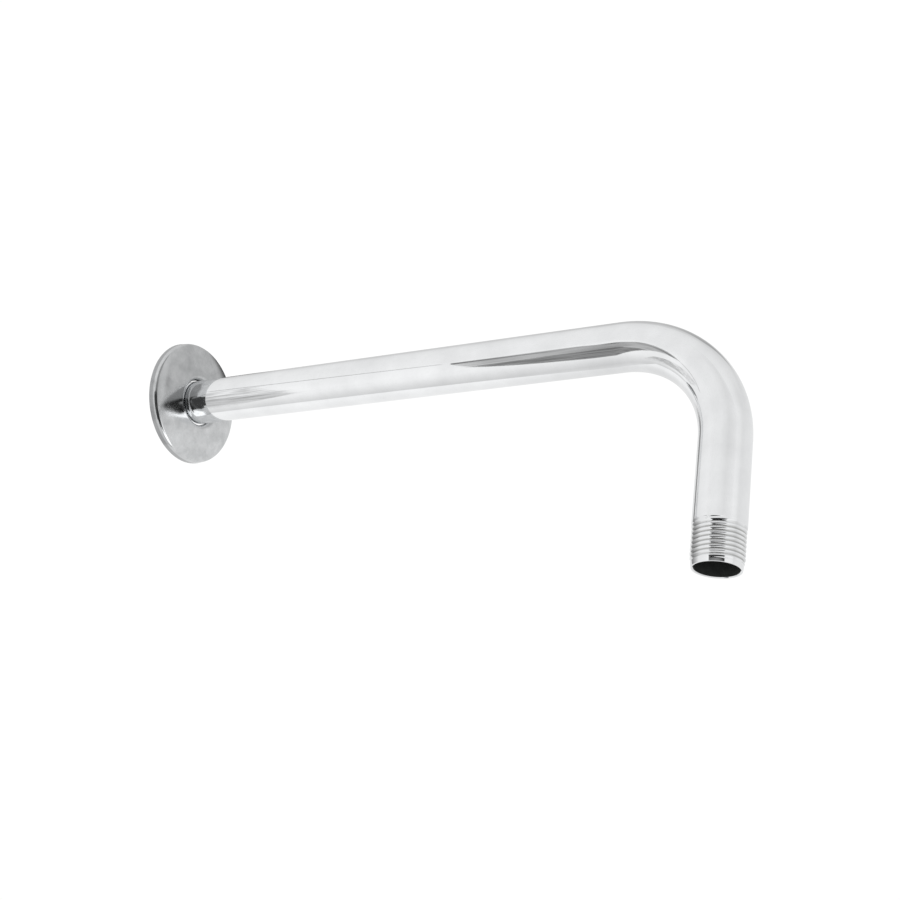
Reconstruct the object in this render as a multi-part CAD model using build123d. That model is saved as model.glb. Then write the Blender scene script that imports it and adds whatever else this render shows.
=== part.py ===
from build123d import *
import os

# A wall-mounted shower arm: one bent tube with a pipe thread on each end,
# and the loose pressed flange that slides along it and covers the hole in the wall.
# Millimetres. The origin is on the tube's axis in the plane of the finished wall,
# +X points out of the wall, +Z points up, and the outlet looks down.

# Pipe thread, as a plain land at its crest diameter with a tapered start
thread_diameter = 20.955
thread_lead = 4.5
thread_run_out = 0.6
thread_length = 18.0

# Bent tube, drawn a little larger than the thread that is cut on it
thread_shoulder = 0.1725
tube_wall = 1.8
reach = 281.0
drop = 101.5
bend_radius = 47.5
wall_stub = 16.0

# Pressed flange: turned-back rim, domed face and a hole whose edge curls in along the tube
flange_diameter = 60.0
flange_sheet = 0.9
flange_clearance = 0.45
rim_depth = 3.8
rim_draft = 0.4
shoulder_radius = 1.6
dome_rise = 3.3
curl_radius = 2.6

# Sizes that follow
thread_radius = thread_diameter / 2
tube_radius = thread_radius + thread_shoulder
bore_radius = tube_radius - tube_wall
lead_drop = 0.42 * tube_wall
bore_chamfer = tube_wall / 6
flange_radius = flange_diameter / 2
flange_bore_radius = tube_radius + flange_clearance
crest_radius = flange_bore_radius + curl_radius
flange_front = rim_depth + dome_rise
curl_leg = curl_radius / 2**0.5
inner_bevel = (2 - 2**0.5) * (shoulder_radius - flange_sheet)


def thread_cutter(tube_end, inward):
    # The ring that a die removes from a tube's end, drawn along the tube and out from its axis
    beyond_tube = tube_radius + tube_wall
    land_end = thread_length - thread_run_out
    profile = Polyline(
        (0, thread_radius - lead_drop),
        (thread_lead, thread_radius),
        (land_end, thread_radius),
        (thread_length, tube_radius),
        (thread_length, beyond_tube),
        (0, beyond_tube),
        close=True,
    )
    drawing = Plane(origin=tube_end, x_dir=inward, z_dir=(0, 1, 0))
    return revolve(drawing * make_face(profile), axis=Axis(tube_end, inward))


def bent_tube():
    # Straight run out of the wall, a right-angle bend and a short leg down
    wall_end = (-wall_stub, 0, 0)
    outlet = (reach, 0, -drop)
    route = FilletPolyline(wall_end, (reach, 0, 0), outlet, radius=bend_radius)
    ring = Circle(tube_radius) - Circle(bore_radius)
    tube = sweep(Plane(origin=wall_end, z_dir=(1, 0, 0)) * ring, path=route)
    tube -= thread_cutter(wall_end, (1, 0, 0))
    tube -= thread_cutter(outlet, (0, 0, 1))
    wall_face = tube.faces().sort_by(Axis.X)[0]
    outlet_face = tube.faces().sort_by(Axis.Z)[0]
    bore_edges = wall_face.inner_wires()[0].edges() + outlet_face.inner_wires()[0].edges()
    return chamfer(bore_edges, bore_chamfer)


def pressed_flange():
    # The outer skin, drawn along the tube's axis and out from it, then given the sheet's thickness.
    # It starts behind the wall plane, where the rim is then trimmed flat.
    trim = flange_sheet
    rim_foot = (-trim, flange_radius + rim_draft * trim / rim_depth)
    shoulder = (rim_depth, flange_radius - rim_draft)
    crest = (flange_front, crest_radius)
    curl_middle = (flange_front - curl_radius + curl_leg, crest_radius - curl_leg)
    hole_edge = (flange_front - curl_radius, flange_bore_radius)
    dome = TangentArc(crest, shoulder, tangent=(0, 1))
    skin = Polyline(rim_foot, shoulder, dome @ 0.5, crest, curl_middle, hole_edge)
    section = make_face(offset(skin, amount=flange_sheet, kind=Kind.INTERSECTION, side=Side.RIGHT))
    # The back of the face keeps its two flats, and the front swells out from them to an even dome
    for half in (dome.trim(0, 0.5), dome.trim(0.5, 1)):
        section += make_face(half.edges() + Line(half @ 0, half @ 1).edges())
    # The press rounds the shoulder; inside, a bevel that touches the bend keeps the sheet's thickness
    section = fillet(section.vertices().sort_by_distance(shoulder)[0], shoulder_radius)
    section = chamfer(section.vertices().sort_by_distance(shoulder)[0], inner_bevel)
    return split(revolve(section, axis=Axis.X), bisect_by=Plane.YZ, keep=Keep.TOP)


os.makedirs("parts", exist_ok=True)
export_step(bent_tube(), "parts/arm_tube.step")
export_step(pressed_flange(), "parts/wall_flange.step")
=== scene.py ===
import math

import bmesh
import bpy
from mathutils import Matrix, Vector, geometry


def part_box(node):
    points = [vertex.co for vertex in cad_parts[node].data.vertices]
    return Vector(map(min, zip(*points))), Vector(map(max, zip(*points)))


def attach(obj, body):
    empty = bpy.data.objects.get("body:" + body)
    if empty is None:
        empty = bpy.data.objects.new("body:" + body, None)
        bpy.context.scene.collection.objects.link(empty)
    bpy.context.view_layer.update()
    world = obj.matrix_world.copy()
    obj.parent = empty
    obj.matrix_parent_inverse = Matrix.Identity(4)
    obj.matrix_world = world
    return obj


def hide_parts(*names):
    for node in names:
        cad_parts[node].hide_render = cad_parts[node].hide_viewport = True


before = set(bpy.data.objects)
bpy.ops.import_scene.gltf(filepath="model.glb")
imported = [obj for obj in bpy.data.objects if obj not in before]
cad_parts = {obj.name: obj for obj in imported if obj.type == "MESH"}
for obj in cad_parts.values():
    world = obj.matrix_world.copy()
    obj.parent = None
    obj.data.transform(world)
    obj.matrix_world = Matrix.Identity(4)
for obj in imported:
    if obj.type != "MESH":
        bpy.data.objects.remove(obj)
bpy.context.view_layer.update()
mm = 0.001
colorA, colorB, mixedColor = 6, 7, 2  # where a Mix node keeps its colour sockets
print("frame loaded:", sorted(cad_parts))


def linearColor(code):
    # sRGB hex to the linear colour that a shader takes
    channels = [int(code[i:i + 2], 16) / 255 for i in (1, 3, 5)]
    linear = [c / 12.92 if c <= 0.04045 else ((c + 0.055) / 1.055) ** 2.4 for c in channels]
    return (*linear, 1.0)


def addNode(tree, kind, inputs, out=0, **settings):
    # adds a node, sets it, links what is a socket and hands back one of its outputs
    node = tree.nodes.new(kind)
    for name, value in settings.items():
        setattr(node, name, value)
    for socket, value in inputs.items():
        if isinstance(value, bpy.types.NodeSocket):
            tree.links.new(value, node.inputs[socket])
        else:
            node.inputs[socket].default_value = value
    return node.outputs[out] if len(node.outputs) else node


def newMaterial(name):
    material = bpy.data.materials.new(name)
    material.use_nodes = True
    material.node_tree.nodes.clear()
    return material, material.node_tree


# Finishes: patterns are given as repeats to the metre

tubeFinish = {
    "hazy": linearColor("#DEDFE0"),
    "bright": linearColor("#F9FAFB"),
    # painted shade for the thread roots
    "rootShade": linearColor("#ACACAA"),
    "hazePatches": 70.0,  # about 14 mm across
    # about 33 mm long and 2 mm apart, coarser than real ones so that they show
    "drawLines": (30.0, 480.0, 480.0),
    "lineDepth": 0.004 * mm,
    "roughness": (0.03, 0.09),
    "rootRoughness": 0.22,
    "rootShadeEdge": 4.0,
}


def polishedChromeTube():
    # chrome plate over buffed brass: a cool mirror with faint draw lines and haze along the tube,
    # and thread roots darkened with painted shade and made rougher
    material, tree = newMaterial("polishedChromeTube")
    place = addNode(tree, "ShaderNodeAttribute", {}, out="Vector", attribute_name="straightPlace")
    stretched = addNode(
        tree, "ShaderNodeVectorMath", {0: place, 1: tubeFinish["drawLines"]}, operation="MULTIPLY",
    )
    lines = addNode(tree, "ShaderNodeTexNoise", {"Vector": stretched, "Scale": 1.0, "Detail": 3.0})
    haze = addNode(
        tree, "ShaderNodeTexNoise",
        {"Vector": place, "Scale": tubeFinish["hazePatches"], "Detail": 4.0, "Roughness": 0.6},
    )
    root = addNode(tree, "ShaderNodeAttribute", {}, out="Fac", attribute_name="threadRoot")
    rootShade = addNode(tree, "ShaderNodeMath", {0: root, 1: tubeFinish["rootShadeEdge"]}, operation="POWER")
    plate = addNode(
        tree, "ShaderNodeMix",
        {"Factor": haze, colorA: tubeFinish["hazy"], colorB: tubeFinish["bright"]},
        out=mixedColor, data_type="RGBA",
    )
    # painted shade: the colour darkens towards the bottom of the thread's grooves
    color = addNode(
        tree, "ShaderNodeMix",
        {"Factor": rootShade, colorA: plate, colorB: tubeFinish["rootShade"]},
        out=mixedColor, data_type="RGBA",
    )
    smoothest, roughest = tubeFinish["roughness"]
    roughness = addNode(
        tree, "ShaderNodeMapRange",
        {"Value": haze, "From Min": 0.35, "From Max": 0.7, "To Min": smoothest, "To Max": roughest},
    )
    roughness = addNode(
        tree, "ShaderNodeMath",
        {0: rootShade, 1: tubeFinish["rootRoughness"], 2: roughness}, operation="MULTIPLY_ADD",
    )
    relief = addNode(
        tree, "ShaderNodeBump", {"Height": lines, "Strength": 1.0, "Distance": tubeFinish["lineDepth"]},
    )
    shader = addNode(
        tree, "ShaderNodeBsdfPrincipled",
        {"Base Color": color, "Metallic": 1.0, "Roughness": roughness, "Normal": relief},
    )
    addNode(tree, "ShaderNodeOutputMaterial", {"Surface": shader})
    return material


boreFinish = {
    # painted shade: near-black colours for the dark inside of the tube, mottled by stains
    "bare": linearColor("#242625"),
    "stained": linearColor("#3C3E3C"),
    "stains": 350.0,  # about 3 mm across
}


def unplatedBore():
    # the plating stops at the rim: inside is dull dark brass, its colour darkened further as painted shade,
    # as light hardly reaches it
    material, tree = newMaterial("unplatedBore")
    place = addNode(tree, "ShaderNodeTexCoord", {}, out="Object")
    stain = addNode(
        tree, "ShaderNodeTexNoise", {"Vector": place, "Scale": boreFinish["stains"], "Detail": 3.0},
    )
    color = addNode(
        tree, "ShaderNodeMix",
        {"Factor": stain, colorA: boreFinish["bare"], colorB: boreFinish["stained"]},
        out=mixedColor, data_type="RGBA",
    )
    shader = addNode(
        tree, "ShaderNodeBsdfPrincipled",
        {"Base Color": color, "Metallic": 0.0, "Roughness": 0.7, "Specular IOR Level": 0.2},
    )
    addNode(tree, "ShaderNodeOutputMaterial", {"Surface": shader})
    return material


flangeFinish = {
    "cloudy": linearColor("#9EA0A1"),
    "bright": linearColor("#E6E7E8"),
    # painted shade round the rim, near the wall
    "rim": linearColor("#A8A9AA"),
    "clouds": 130.0,  # about 8 mm across
    "roughness": (0.08, 0.2),
    "rimRoughness": 0.06,
    "rimEdge": (2.6 * mm, 2.0 * mm),
}


def polishedChromeFlange():
    # thin plate on pressed sheet: greyer than the tube, cloudy where it was only lightly buffed,
    # and a little duller round the rim, where its darker colour is painted shade
    material, tree = newMaterial("polishedChromeFlange")
    place = addNode(tree, "ShaderNodeTexCoord", {}, out="Object")
    cloud = addNode(
        tree, "ShaderNodeTexNoise",
        {"Vector": place, "Scale": flangeFinish["clouds"], "Detail": 5.0, "Roughness": 0.65},
    )
    face = addNode(
        tree, "ShaderNodeMix",
        {"Factor": cloud, colorA: flangeFinish["cloudy"], colorB: flangeFinish["bright"]},
        out=mixedColor, data_type="RGBA",
    )
    smoothest, roughest = flangeFinish["roughness"]
    roughness = addNode(
        tree, "ShaderNodeMapRange",
        {"Value": cloud, "From Min": 0.3, "From Max": 0.7, "To Min": smoothest, "To Max": roughest},
    )
    fromWall = addNode(tree, "ShaderNodeSeparateXYZ", {0: place}, out="X")
    rimStart, rimFull = flangeFinish["rimEdge"]
    rim = addNode(
        tree, "ShaderNodeMapRange",
        {"Value": fromWall, "From Min": rimStart, "From Max": rimFull}, interpolation_type="SMOOTHSTEP",
    )
    # painted shade: the colour darkens round the rim, near the wall
    color = addNode(
        tree, "ShaderNodeMix",
        {"Factor": rim, colorA: face, colorB: flangeFinish["rim"]},
        out=mixedColor, data_type="RGBA",
    )
    roughness = addNode(
        tree, "ShaderNodeMath",
        {0: rim, 1: flangeFinish["rimRoughness"], 2: roughness}, operation="MULTIPLY_ADD",
    )
    shader = addNode(
        tree, "ShaderNodeBsdfPrincipled", {"Base Color": color, "Metallic": 1.0, "Roughness": roughness},
    )
    addNode(tree, "ShaderNodeOutputMaterial", {"Surface": shader})
    return material


# The arm: a line that runs out along the tube's skin and back through its bore, carried round the bent axis
tubeLow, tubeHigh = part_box("arm_tube")
arm = {
    "tubeRadius": tubeHigh.z,
    "wall": 1.8 * mm,
    "bendRadius": 47.5 * mm,
    "threadRadius": 20.955 / 2 * mm,
    "leadDrop": 0.756 * mm,
    "boreBreak": 0.3 * mm,
    "lead": 4.5 * mm,
    "runOut": 3.0 * mm,
    "thread": 18.0 * mm,
    "pitch": 25.4 / 14 * mm,  # 14 turns to the inch
    "grooveDepth": 0.5 * mm,
    "grooveStart": 1.2 * mm,
    "grooveFull": 3.5 * mm,
    "grooveFade": 3.0 * mm,
    "weld": 0.001 * mm,
    "sharpAngle": 32,
    "columns": 128,
}
arm["wallEnd"] = tubeLow.x
arm["reach"] = tubeHigh.x - arm["tubeRadius"]
arm["drop"] = -tubeLow.z
arm["tipRadius"] = arm["threadRadius"] - arm["leadDrop"]
arm["toBend"] = arm["reach"] - arm["bendRadius"] - arm["wallEnd"]
arm["bend"] = arm["bendRadius"] * math.pi / 2
arm["leg"] = arm["drop"] - arm["bendRadius"]


def tubeStretches():
    # each stretch of the line: its rows, how far it goes along the axis, and the radius where it ends
    skin = arm["tubeRadius"]
    bore = skin - arm["wall"]
    boreMouth = bore + arm["boreBreak"]
    land = arm["threadRadius"]
    landLength = arm["thread"] - arm["lead"] - arm["runOut"]
    return [
        ("wall lead", 50, arm["lead"], land),
        ("wall land", 150, landLength, land),
        ("wall run-out", 30, arm["runOut"], skin),
        ("run", 24, arm["toBend"] - arm["thread"], skin),
        ("bend", 72, arm["bend"], skin),
        ("leg", 12, arm["leg"] - arm["thread"], skin),
        ("outlet run-out", 30, arm["runOut"], land),
        ("outlet land", 150, landLength, land),
        ("outlet lead", 50, arm["lead"], arm["tipRadius"]),
        ("outlet face", 3, 0.0, boreMouth),
        ("outlet break", 2, -arm["boreBreak"], bore),
        ("bore leg", 8, arm["boreBreak"] - arm["leg"], bore),
        ("bore bend", 48, -arm["bend"], bore),
        ("bore run", 12, arm["boreBreak"] - arm["toBend"], bore),
        ("wall break", 2, -arm["boreBreak"], boreMouth),
        ("wall face", 3, 0.0, arm["tipRadius"]),
    ]


def bentTubeTree(stretches):
    tree = bpy.data.node_groups.new("bentTube", "GeometryNodeTree")
    tree.interface.new_socket("Geometry", in_out="OUTPUT", socket_type="NodeSocketGeometry")
    sizeNames = ["wall end", "straight run", "bend radius", "length", "start radius", "pitch", "groove depth"]
    firstRow = {}
    rows = 0
    for name, count, *rest in stretches:
        sizeNames += [name + " length", name + " end radius"]
        firstRow[name] = float(rows)
        rows += count
    for name in sizeNames:
        tree.interface.new_socket(name, in_out="INPUT", socket_type="NodeSocketFloat")
    for name in ("chrome", "bore"):
        tree.interface.new_socket(name, in_out="INPUT", socket_type="NodeSocketMaterial")
    size = tree.nodes.new("NodeGroupInput").outputs

    # a grid of rows along the line and turns round it
    grid = addNode(
        tree, "GeometryNodeMeshGrid",
        {"Vertices X": rows + 1, "Vertices Y": arm["columns"] + 1, "Size X": float(rows), "Size Y": 1.0},
    )
    place = addNode(tree, "ShaderNodeSeparateXYZ", {0: addNode(tree, "GeometryNodeInputPosition", {})}).node
    row = addNode(tree, "ShaderNodeMath", {0: place.outputs["X"], 1: rows / 2}, operation="ADD")
    turn = addNode(tree, "ShaderNodeMath", {0: place.outputs["Y"], 1: 0.5}, operation="ADD")

    # distance along the axis and plain radius, stretch by stretch
    along = 0.0
    radius = size["start radius"]
    lastRadius = size["start radius"]
    for name, count, *rest in stretches:
        share = addNode(
            tree, "ShaderNodeMapRange",
            {"Value": row, "From Min": firstRow[name], "From Max": firstRow[name] + count},
        )
        along = addNode(
            tree, "ShaderNodeMath", {0: share, 1: size[name + " length"], 2: along}, operation="MULTIPLY_ADD",
        )
        endRadius = size[name + " end radius"]
        step = addNode(tree, "ShaderNodeMath", {0: endRadius, 1: lastRadius}, operation="SUBTRACT")
        if name.endswith("run-out"):
            share = addNode(tree, "ShaderNodeMapRange", {"Value": share}, interpolation_type="SMOOTHSTEP")
        radius = addNode(tree, "ShaderNodeMath", {0: share, 1: step, 2: radius}, operation="MULTIPLY_ADD")
        lastRadius = endRadius

    # right-hand thread, cut into the skin near each end
    turns = addNode(tree, "ShaderNodeMath", {0: along, 1: size["pitch"]}, operation="DIVIDE")
    phase = addNode(tree, "ShaderNodeMath", {0: turns, 1: turn}, operation="ADD")
    angle = addNode(tree, "ShaderNodeMath", {0: phase, 1: math.tau}, operation="MULTIPLY")
    wave = addNode(tree, "ShaderNodeMath", {0: angle}, operation="COSINE")
    wave = addNode(tree, "ShaderNodeMath", {0: wave, 1: -0.5, 2: 0.5}, operation="MULTIPLY_ADD")
    onSkin = addNode(
        tree, "ShaderNodeMath", {0: row, 1: firstRow["outlet face"] + 0.5}, operation="LESS_THAN",
    )
    fromOutlet = addNode(tree, "ShaderNodeMath", {0: size["length"], 1: along}, operation="SUBTRACT")
    root = 0.0
    for fromEnd in (along, fromOutlet):
        starts = addNode(
            tree, "ShaderNodeMapRange",
            {"Value": fromEnd, "From Min": arm["grooveStart"], "From Max": arm["grooveFull"]},
            interpolation_type="SMOOTHSTEP",
        )
        fades = addNode(
            tree, "ShaderNodeMapRange",
            {"Value": fromEnd, "From Min": arm["thread"], "From Max": arm["thread"] - arm["grooveFade"]},
            interpolation_type="SMOOTHSTEP",
        )
        groove = wave
        for part in (starts, fades, onSkin):
            groove = addNode(tree, "ShaderNodeMath", {0: groove, 1: part}, operation="MULTIPLY")
        root = addNode(tree, "ShaderNodeMath", {0: root, 1: groove}, operation="ADD")
    cut = addNode(tree, "ShaderNodeMath", {0: root, 1: size["groove depth"]}, operation="MULTIPLY")
    radius = addNode(tree, "ShaderNodeMath", {0: radius, 1: cut}, operation="SUBTRACT")

    # the bent axis, then the ring round it
    quarter = addNode(tree, "ShaderNodeMath", {0: size["bend radius"], 1: math.pi / 2}, operation="MULTIPLY")
    bendEnd = addNode(tree, "ShaderNodeMath", {0: size["straight run"], 1: quarter}, operation="ADD")
    bendAngle = addNode(
        tree, "ShaderNodeMapRange",
        {"Value": along, "From Min": size["straight run"], "From Max": bendEnd, "To Max": math.pi / 2},
    )
    pastBend = addNode(tree, "ShaderNodeMath", {0: along, 1: bendEnd}, operation="SUBTRACT")
    pastBend = addNode(tree, "ShaderNodeMath", {0: pastBend, 1: 0.0}, operation="MAXIMUM")
    onRun = addNode(tree, "ShaderNodeMath", {0: along, 1: size["straight run"]}, operation="MINIMUM")
    onRun = addNode(tree, "ShaderNodeMath", {0: onRun, 1: size["wall end"]}, operation="ADD")
    around = addNode(tree, "ShaderNodeMath", {0: turn, 1: math.tau}, operation="MULTIPLY")
    ringCos = addNode(tree, "ShaderNodeMath", {0: around}, operation="COSINE")
    ringSin = addNode(tree, "ShaderNodeMath", {0: around}, operation="SINE")
    reachOut = addNode(
        tree, "ShaderNodeMath", {0: radius, 1: ringCos, 2: size["bend radius"]}, operation="MULTIPLY_ADD",
    )
    bendSin = addNode(tree, "ShaderNodeMath", {0: bendAngle}, operation="SINE")
    bendCos = addNode(tree, "ShaderNodeMath", {0: bendAngle}, operation="COSINE")
    x = addNode(tree, "ShaderNodeMath", {0: reachOut, 1: bendSin, 2: onRun}, operation="MULTIPLY_ADD")
    y = addNode(tree, "ShaderNodeMath", {0: radius, 1: ringSin}, operation="MULTIPLY")
    below = addNode(tree, "ShaderNodeMath", {0: size["bend radius"], 1: pastBend}, operation="ADD")
    z = addNode(tree, "ShaderNodeMath", {0: reachOut, 1: bendCos}, operation="MULTIPLY")
    z = addNode(tree, "ShaderNodeMath", {0: z, 1: below}, operation="SUBTRACT")

    # UV in metres, the thread's roots, each point's place on the tube unbent, and the faces of the bore
    girth = addNode(tree, "ShaderNodeMath", {0: turn, 1: math.tau * arm["tubeRadius"]}, operation="MULTIPLY")
    unrolled = addNode(tree, "ShaderNodeCombineXYZ", {0: along, 1: girth})
    across = addNode(tree, "ShaderNodeMath", {0: radius, 1: ringCos}, operation="MULTIPLY")
    straight = addNode(tree, "ShaderNodeCombineXYZ", {0: along, 1: across, 2: y})
    pastMouth = addNode(tree, "ShaderNodeMath", {0: row, 1: firstRow["bore leg"]}, operation="GREATER_THAN")
    beforeWall = addNode(tree, "ShaderNodeMath", {0: row, 1: firstRow["wall break"]}, operation="LESS_THAN")
    inBore = addNode(tree, "ShaderNodeMath", {0: pastMouth, 1: beforeWall}, operation="MULTIPLY")
    attributes = [
        ("UVMap", unrolled, "FLOAT2", "CORNER"),
        ("threadRoot", root, "FLOAT", "POINT"),
        ("straightPlace", straight, "FLOAT_VECTOR", "POINT"),
        ("inBore", inBore, "FLOAT", "FACE"),
    ]
    mesh = grid
    for name, value, kind, domain in attributes:
        mesh = addNode(
            tree, "GeometryNodeStoreNamedAttribute",
            {"Geometry": mesh, "Name": name, "Value": value}, data_type=kind, domain=domain,
        )

    # the grid goes to its place, its seam closes, and the bore gets a material of its own
    position = addNode(tree, "ShaderNodeCombineXYZ", {0: x, 1: y, 2: z})
    mesh = addNode(tree, "GeometryNodeSetPosition", {"Geometry": mesh, "Position": position})
    mesh = addNode(tree, "GeometryNodeMergeByDistance", {"Geometry": mesh, "Distance": arm["weld"]})
    mesh = addNode(tree, "GeometryNodeRealizeInstances", {"Geometry": mesh})
    mesh = addNode(tree, "GeometryNodeSetMaterial", {"Geometry": mesh, "Material": size["chrome"]})
    boreFaces = addNode(tree, "GeometryNodeInputNamedAttribute", {"Name": "inBore"}, data_type="FLOAT")
    boreFaces = addNode(tree, "ShaderNodeMath", {0: boreFaces, 1: 0.5}, operation="GREATER_THAN")
    mesh = addNode(
        tree, "GeometryNodeSetMaterial",
        {"Geometry": mesh, "Material": size["bore"], "Selection": boreFaces},
    )
    addNode(tree, "NodeGroupOutput", {0: mesh})
    return tree


def makeArm():
    stretches = tubeStretches()
    tree = bentTubeTree(stretches)
    values = {
        "wall end": arm["wallEnd"],
        "straight run": arm["toBend"],
        "bend radius": arm["bendRadius"],
        "length": arm["toBend"] + arm["bend"] + arm["leg"],
        "start radius": arm["tipRadius"],
        "pitch": arm["pitch"],
        "groove depth": arm["grooveDepth"],
        "chrome": polishedChromeTube(),
        "bore": unplatedBore(),
    }
    for name, count, length, radius in stretches:
        values[name + " length"] = length
        values[name + " end radius"] = radius
    piece = bpy.data.objects.new("armTube", bpy.data.meshes.new("armTube"))
    bpy.context.scene.collection.objects.link(piece)
    modifier = piece.modifiers.new("bentTube", "NODES")
    modifier.node_group = tree
    for item in tree.interface.items_tree:
        if item.in_out == "INPUT":
            modifier[item.identifier] = values[item.name]
    depsgraph = bpy.context.evaluated_depsgraph_get()
    mesh = bpy.data.meshes.new_from_object(piece.evaluated_get(depsgraph))
    piece.modifiers.clear()
    piece.data = mesh
    mesh.shade_smooth()
    mesh.set_sharp_from_angle(angle=math.radians(arm["sharpAngle"]))
    return piece


armTube = makeArm()
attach(armTube, "arm")
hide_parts("arm_tube")
print("arm made:", len(armTube.data.polygons), "faces")


# The flange: the section of the pressed sheet, turned about the tube's axis
flange = {
    "front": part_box("wall_flange")[1].x,
    "rimRadius": 30.0 * mm,
    "rimDepth": 3.8 * mm,
    "rimDraft": 0.4 * mm,
    "shoulder": 1.6 * mm,
    "domeRise": 3.3 * mm,
    "holeRadius": 11.1 * mm,
    "curl": 2.6 * mm,
    "sheet": 0.9 * mm,
    "edgeBreak": 0.15 * mm,
    "weld": 0.0001 * mm,
    "sharpAngle": 30,
    "columns": 256,
    "arcSteps": (14, 36, 14),
}


def flangeSection():
    # outline of the sheet, as distance from the wall and from the axis:
    # shoulder, dome and curl run into one another
    front = flange["front"]
    foot = Vector((0.0, flange["rimRadius"]))
    corner = foot + Vector((flange["rimDepth"], -flange["rimDraft"]))
    rimFacing = Vector((flange["rimDraft"], flange["rimDepth"])).normalized()
    crest = flange["holeRadius"] + flange["curl"]
    rise = flange["domeRise"]
    domeRadius = ((corner.y - crest) ** 2 + rise ** 2) / (2 * rise)
    domeCentre = Vector((front - domeRadius, crest))

    # the shoulder's centre lies its own radius inside both the rim and the dome
    setIn = rimFacing * flange["shoulder"]
    crossings = geometry.intersect_line_sphere_2d(
        foot - setIn, corner - setIn, domeCentre, domeRadius - flange["shoulder"], False,
    )
    shoulderCentre = max(crossings, key=lambda point: point.x)
    towardsShoulder = shoulderCentre - domeCentre
    rimAngle = math.atan2(rimFacing.y, rimFacing.x)
    domeAngle = math.atan2(towardsShoulder.y, towardsShoulder.x)
    arcs = [
        (shoulderCentre, flange["shoulder"], rimAngle, domeAngle),
        (domeCentre, domeRadius, domeAngle, 0.0),
        (Vector((front - flange["curl"], crest)), flange["curl"], 0.0, -math.pi / 2),
    ]
    outside = []
    inside = []
    for (centre, radius, start, end), steps in zip(arcs, flange["arcSteps"]):
        for i in range(steps):
            angle = start + (end - start) * i / (steps - 1)
            facing = Vector((math.cos(angle), math.sin(angle)))
            outside.append(centre + facing * radius)
            inside.append(centre + facing * (radius - flange["sheet"]))

    # the rim's foot, its two edges broken
    edgeBreak = flange["edgeBreak"]
    innerFoot = foot - Vector((0.0, flange["sheet"]))
    return [
        foot - Vector((0.0, edgeBreak)), foot.lerp(corner, edgeBreak / flange["rimDepth"]),
        *outside, *reversed(inside),
        innerFoot + Vector((edgeBreak, 0.0)), innerFoot + Vector((0.0, edgeBreak)),
    ]


def makeFlange():
    piece = bpy.data.objects.new("wallFlange", bpy.data.meshes.new("wallFlange"))
    bpy.context.scene.collection.objects.link(piece)
    section = flangeSection()
    shape = bmesh.new()
    rings = []
    for column in range(flange["columns"]):
        turn = math.tau * column / flange["columns"]
        rings.append([shape.verts.new((p.x, p.y * math.cos(turn), p.y * math.sin(turn))) for p in section])
    for i, ring in enumerate(rings):
        nextRing = rings[(i + 1) % len(rings)]
        for j in range(len(section)):
            k = (j + 1) % len(section)
            shape.faces.new((ring[j], ring[k], nextRing[k], nextRing[j]))
    bmesh.ops.remove_doubles(shape, verts=shape.verts, dist=flange["weld"])
    bmesh.ops.recalc_face_normals(shape, faces=shape.faces)
    shape.to_mesh(piece.data)
    shape.free()
    piece.data.shade_smooth()
    piece.data.set_sharp_from_angle(angle=math.radians(flange["sharpAngle"]))
    piece.data.materials.append(polishedChromeFlange())
    return piece


wallFlange = makeFlange()
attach(wallFlange, "flange")
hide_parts("wall_flange")
print("flange made:", len(wallFlange.data.polygons), "faces")


# Studio: pale floor, a white tent, toned cards that only the chrome mirrors, camera
studio = {
    "floorDrop": 1.3,
    "floorSize": 14.0,
    "floorFade": (1.5, 6.5),
    "floorPaint": linearColor("#F6F6F6"),
    "tentGlow": 1.03,
    "mottlePatches": 32.0,  # repeats to the metre
    "cameraPlace": (0.4583, -0.4779, -0.2887),
    "cameraAim": (0.1504, 0.0093, -0.0354),
    "cameraRoll": 8.66,
    "lens": 56.84,
    "sensor": 36.0,
    "nearest": 0.01,
}
# the tent's tone round the arm's axis, in degrees: 0 is straight behind the arm, 90 above it,
# 180 in front of it and 270 below it
tentTones = [
    (0, "#F0F0F0"), (60, "#E8E8E8"), (80, "#E8E8E8"), (105, "#F1F1F1"),
    (165, "#F9F9F9"), (215, "#FFFFFF"), (235, "#FBFBFB"), (262, "#E9E9E9"),
    (285, "#DBDBDB"), (310, "#E6E6E6"), (345, "#F0F0F0"), (360, "#F0F0F0"),
]
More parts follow.
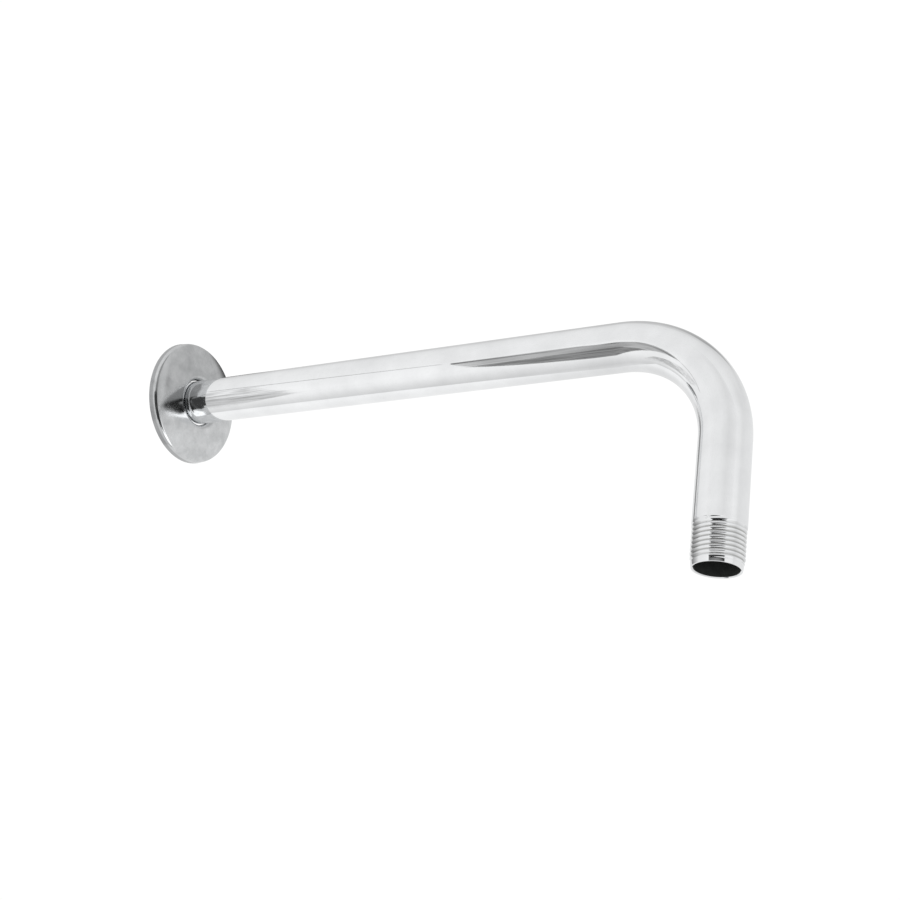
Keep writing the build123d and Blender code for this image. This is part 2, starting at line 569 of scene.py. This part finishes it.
# Cards stand square to the Y axis at their depth, or are turned about Z and then show from the front only.
# Corners are X and Z before the turn, tones go across, shade goes up, and feather softens the left, right,
# bottom and top edges, all in metres. Mottle is how dim and how bright the patches of a cloudy card are.
cards = {
    "tableCard": {  # close behind the arm, paler towards its foot
        "depth": 0.0315,
        "corners": [(-0.30, -0.335), (0.36, 0.028), (0.36, 0.50), (-0.30, 0.50)],
        # painted shade: darker towards the bend, and darker above the run
        "tones": [(-0.30, "#FFFFFF"), (0.14, "#FFFFFF"), (0.21, "#F0F0F0"), (0.36, "#F0F0F0")],
        "shade": [
            (-0.08, "#FFFFFF"), (-0.04, "#FAFAFA"), (-0.01, "#F6F6F6"), (0.004, "#F2F2F2"),
            (0.03, "#D4D4D4"), (0.12, "#D6D6D6"), (0.2, "#E6E6E6"),
        ],
        "feather": (0.1, 0.16, 0.0, 0.2),
    },
    "shadowCard": {  # dark, behind the top of the flange
        "depth": 0.031,
        "corners": [(-0.06, 0.015), (0.016, 0.015), (0.016, 0.07), (-0.06, 0.07)],
        "tones": [(-0.06, "#383838"), (0.016, "#383838")],
        "feather": (0.02, 0.015, 0.01, 0.02),
    },
    "roomCard": {  # the grey room in front, for the long streak on the run
        "depth": -0.200,
        "corners": [
            (0.052, -0.105), (0.54, -0.105), (0.54, -0.08), (0.17, -0.05), (0.13, 0.004), (0.052, 0.004),
        ],
        "tones": [
            (0.052, "#D0D0D0"), (0.10, "#BCBCBC"), (0.15, "#ACACAC"), (0.20, "#A4A4A4"), (0.26, "#1C1C1C"),
        ],
        "feather": (0.0, 0.04, 0.015, 0.015),
        "mottle": (0.84, 1.12),
    },
    "darkCard": {  # the room's darker lower half
        "depth": -0.201,
        "corners": [(0.042, -0.40), (0.54, -0.40), (0.54, -0.09), (0.049, -0.09)],
        "tones": [(0.042, "#949494"), (0.15, "#868686"), (0.24, "#303030"), (0.54, "#1C1C1C")],
        "feather": (0.0, 0.05, 0.03, 0.02),
        "mottle": (0.7, 1.25),
    },
    "barCard": {  # a bar across the room
        "depth": -0.199,
        "corners": [(0.052, -0.028), (0.115, -0.032), (0.115, -0.014), (0.052, -0.006)],
        "tones": [(0.052, "#7C7C7C"), (0.115, "#A0A0A0")],
    },
    "seamCard": {  # a slanting line, mirrored along the run
        "depth": -0.199,
        "corners": [(-0.14, 0.064), (0.046, -0.006), (0.046, 0.002), (-0.14, 0.074)],
        "tones": [(-0.14, "#BCBCBC"), (0.046, "#C2C2C2")],
    },
    "screenCard": {  # pale and cloudy, in front on the wall's side
        "depth": -0.200,
        "corners": [
            (-1.0, -1.0), (-0.50, -0.66), (-0.125, -0.21), (-0.086, -0.10), (-0.086, 0.05), (-1.0, 0.05),
        ],
        "tones": [(-1.0, "#ECECEC"), (-0.086, "#ECECEC")],
        "shade": [(-0.40, "#FFFFFF"), (-0.28, "#E0E0E0"), (-0.12, "#E0E0E0"), (-0.08, "#FFFFFF")],
        "feather": (0.2, 0.0, 0.2, 0.02),
        "mottle": (0.66, 1.2),
    },
    "farCard": {  # dark, beyond the gap between the screen and the room
        "depth": -0.60,
        "corners": [(-0.12, -0.75), (0.16, -0.75), (0.16, -0.03), (-0.12, -0.03)],
        "tones": [(-0.12, "#4C4C4C"), (0.16, "#4C4C4C")],
        "feather": (0.02, 0.03, 0.05, 0.03),
    },
    "softCard": {  # pale, far in front and above
        "depth": -0.78,
        "corners": [(-0.5, 0.0), (2.4, 0.0), (2.4, 1.5), (-0.5, 1.5)],
        "tones": [
            (-0.5, "#F4F4F4"), (0.3, "#F2F2F2"), (0.75, "#E6E6E6"), (1.3, "#ECECEC"), (2.4, "#F4F4F4"),
        ],
        "feather": (0.4, 0.8, 0.15, 0.4),
    },
    "beamCard": {  # grey, high behind
        "depth": 0.80,
        "corners": [(-0.35, 0.80), (0.60, 0.80), (0.60, 2.40), (-0.35, 2.40)],
        "tones": [(-0.35, "#888888"), (0.60, "#888888")],
        "feather": (0.2, 0.2, 0.2, 0.4),
    },
    "backCard": {  # pale grey, low behind
        "depth": 0.80,
        "corners": [(0.0, -0.90), (1.0, -0.90), (1.0, 0.15), (0.0, 0.15)],
        "tones": [(0.0, "#E2E2E2"), (1.0, "#E2E2E2")],
        "feather": (0.15, 0.15, 0.15, 0.15),
    },
    "darkFlag": {  # faces the wall: dark below, grey above
        "depth": 0.25,
        "turn": -90,
        "corners": [(-0.01, -0.24), (0.60, -0.55), (0.60, 0.50), (-0.01, 0.50)],
        "tones": [(-0.01, "#FFFFFF"), (0.60, "#FFFFFF")],
        "shade": [(-0.55, "#2C2C2C"), (0.005, "#2C2C2C"), (0.03, "#9C9C9C"), (0.50, "#B0B0B0")],
        "feather": (0.09, 0.05, 0.0, 0.1),
    },
    "nearFlag": {  # faces the wall: dark, close to the flange
        "depth": 0.04,
        "turn": -90,
        "corners": [(0.04, -0.10), (0.20, -0.30), (0.20, -0.012), (0.04, -0.006)],
        "tones": [(0.04, "#4C4C4C"), (0.20, "#4C4C4C")],
        "feather": (0.02, 0.005, 0.03, 0.006),
    },
    "lampFlag": {  # faces the wall: a bright panel below the run
        "depth": 0.251,
        "turn": -90,
        "corners": [
            (-0.16, -0.90), (0.15, -0.90), (0.15, -0.28), (0.0, -0.22), (0.0, -0.03), (-0.16, -0.03),
        ],
        "tones": [(-0.16, "#FFFFFF"), (0.15, "#FFFFFF")],
        "feather": (0.06, 0.03, 0.0, 0.06),
        "glow": 2.0,
    },
    "threadFlag": {  # faces out from the wall, beside the outlet's thread
        "depth": -0.262,
        "turn": 90,
        "corners": [
            (-0.083, -0.23), (-0.02, -0.23), (0.0, -0.13), (0.0, -0.03),
            (-0.0045, -0.03), (-0.0045, -0.079), (-0.083, -0.079),
        ],
        "tones": [
            (-0.083, "#FFFFFF"), (-0.016, "#F4F4F4"), (-0.009, "#BCBCBC"),
            (-0.0045, "#949494"), (0.0, "#848484"),
        ],
        "feather": (0.015, 0.002, 0.02, 0.01),
    },
}


def makeFloor():
    half = studio["floorSize"] / 2
    mesh = bpy.data.meshes.new("paleFloor")
    corners = [(-half, -half), (half, -half), (half, half), (-half, half)]
    mesh.from_pydata([(x, y, 0.0) for x, y in corners], [], [(0, 1, 2, 3)])
    floor = bpy.data.objects.new("paleFloor", mesh)
    floor.location.z = -studio["floorDrop"]
    bpy.context.scene.collection.objects.link(floor)
    material, tree = newMaterial("mattFloorPaint")
    paint = addNode(
        tree, "ShaderNodeBsdfPrincipled", {"Base Color": studio["floorPaint"], "Roughness": 0.9},
    )
    place = addNode(tree, "ShaderNodeTexCoord", {}, out="Object")
    away = addNode(tree, "ShaderNodeVectorMath", {0: place}, out="Value", operation="LENGTH")
    solid, gone = studio["floorFade"]
    fade = addNode(
        tree, "ShaderNodeMapRange",
        {"Value": away, "From Min": solid, "From Max": gone}, interpolation_type="SMOOTHSTEP",
    )
    clear = addNode(tree, "ShaderNodeBsdfTransparent", {})
    shader = addNode(tree, "ShaderNodeMixShader", {0: fade, 1: paint, 2: clear})
    addNode(tree, "ShaderNodeOutputMaterial", {"Surface": shader})
    mesh.materials.append(material)
    floor.visible_glossy = False


def toneRamp(tree, place, low, high, stops):
    # greys along a length: stops as place and tone
    share = addNode(tree, "ShaderNodeMapRange", {"Value": place, "From Min": low, "From Max": high})
    ramp = addNode(tree, "ShaderNodeValToRGB", {"Fac": share})
    elements = ramp.node.color_ramp.elements
    while len(elements) < len(stops):
        elements.new(0.5)
    for element, (position, code) in zip(elements, stops):
        element.position = (position - low) / (high - low)
        element.color = linearColor(code)
    return ramp


def cardCover(tree, card, spot, edges):
    # how much of a card shows: less towards a feathered edge, and nothing from behind a turned one
    cover = 1.0
    sides = (("X", 1), ("X", -1), ("Z", 1), ("Z", -1))
    for (axis, inward), edge, depth in zip(sides, edges, card.get("feather", ())):
        if depth:
            fade = addNode(
                tree, "ShaderNodeMapRange",
                {"Value": spot[axis], "From Min": edge, "From Max": edge + inward * depth},
                interpolation_type="SMOOTHSTEP",
            )
            cover = addNode(tree, "ShaderNodeMath", {0: cover, 1: fade}, operation="MULTIPLY")
    if "turn" in card:
        behind = addNode(tree, "ShaderNodeNewGeometry", {}, out="Backfacing")
        cover = addNode(tree, "ShaderNodeMath", {0: cover, 1: behind}, operation="SUBTRACT", use_clamp=True)
    return cover


def cardMaterial(name, card):
    # a card glows with its own tones, and lets through what it doesn't cover
    across, up = zip(*card["corners"])
    left, right, bottom, top = min(across), max(across), min(up), max(up)
    material, tree = newMaterial(name)
    place = addNode(tree, "ShaderNodeTexCoord", {}, out="Object")
    spot = addNode(tree, "ShaderNodeSeparateXYZ", {0: place}).node.outputs
    tone = toneRamp(tree, spot["X"], left, right, card["tones"])
    if "shade" in card:
        shade = toneRamp(tree, spot["Z"], bottom, top, card["shade"])
        tone = addNode(tree, "ShaderNodeVectorMath", {0: tone, 1: shade}, operation="MULTIPLY")
    strength = studio["tentGlow"] * card.get("glow", 1.0)
    if "mottle" in card:
        dim, bright = card["mottle"]
        cloud = addNode(
            tree, "ShaderNodeTexNoise", {"Vector": place, "Scale": studio["mottlePatches"], "Detail": 3.0},
        )
        strength = addNode(
            tree, "ShaderNodeMapRange",
            {"Value": cloud, "From Min": 0.36, "From Max": 0.6, "To Min": dim, "To Max": bright},
        )
    glow = addNode(tree, "ShaderNodeEmission", {"Color": tone, "Strength": strength})
    clear = addNode(tree, "ShaderNodeBsdfTransparent", {})
    cover = cardCover(tree, card, spot, (left, right, bottom, top))
    shader = addNode(tree, "ShaderNodeMixShader", {0: cover, 1: clear, 2: glow})
    addNode(tree, "ShaderNodeOutputMaterial", {"Surface": shader})
    return material


def makeCard(name, card):
    corners = card["corners"]
    mesh = bpy.data.meshes.new(name)
    mesh.from_pydata([(x, 0.0, z) for x, z in corners], [], [tuple(range(len(corners)))])
    mesh.materials.append(cardMaterial(name, card))
    piece = bpy.data.objects.new(name, mesh)
    bpy.context.scene.collection.objects.link(piece)
    turn = math.radians(card.get("turn", 0))
    piece.rotation_euler.z = turn
    piece.location = (-card["depth"] * math.sin(turn), card["depth"] * math.cos(turn), 0.0)
    piece.visible_camera = False
    piece.visible_diffuse = False
    piece.visible_shadow = False


def makeSurroundings():
    # the chrome mirrors the tent's tones, and the camera sees plain white behind the arm
    world = bpy.data.worlds.new("whiteTent")
    bpy.context.scene.world = world
    world.use_nodes = True
    tree = world.node_tree
    tree.nodes.clear()
    direction = addNode(tree, "ShaderNodeTexCoord", {}, out="Generated")
    way = addNode(tree, "ShaderNodeSeparateXYZ", {0: direction}).node.outputs
    angle = addNode(tree, "ShaderNodeMath", {0: way["Z"], 1: way["Y"]}, operation="ARCTAN2")
    degrees = addNode(tree, "ShaderNodeMath", {0: angle}, operation="DEGREES")
    degrees = addNode(tree, "ShaderNodeMath", {0: degrees, 1: 360.0}, operation="FLOORED_MODULO")
    tone = toneRamp(tree, degrees, 0, 360, tentTones)
    seen = addNode(tree, "ShaderNodeLightPath", {}, out="Is Camera Ray")
    tone = addNode(
        tree, "ShaderNodeMix",
        {"Factor": seen, colorA: tone, colorB: linearColor("#FFFFFF")}, out=mixedColor, data_type="RGBA",
    )
    light = addNode(tree, "ShaderNodeBackground", {"Color": tone, "Strength": studio["tentGlow"]})
    addNode(tree, "ShaderNodeOutputWorld", {"Surface": light})
    bpy.context.scene.view_settings.view_transform = "Standard"


def makeCamera():
    lens = bpy.data.cameras.new("studioCamera")
    lens.lens = studio["lens"]
    lens.sensor_width = studio["sensor"]
    lens.clip_start = studio["nearest"]
    camera = bpy.data.objects.new("studioCamera", lens)
    bpy.context.scene.collection.objects.link(camera)
    place = Vector(studio["cameraPlace"])
    aim = Vector(studio["cameraAim"]) - place
    roll = Matrix.Rotation(math.radians(studio["cameraRoll"]), 3, "Z")
    turn = aim.to_track_quat("-Z", "Y").to_matrix() @ roll
    camera.matrix_world = Matrix.LocRotScale(place, turn, None)
    bpy.context.scene.camera = camera


makeFloor()
makeSurroundings()
for cardName, card in cards.items():
    makeCard(cardName, card)
makeCamera()
print("studio made:", len(cards), "cards")
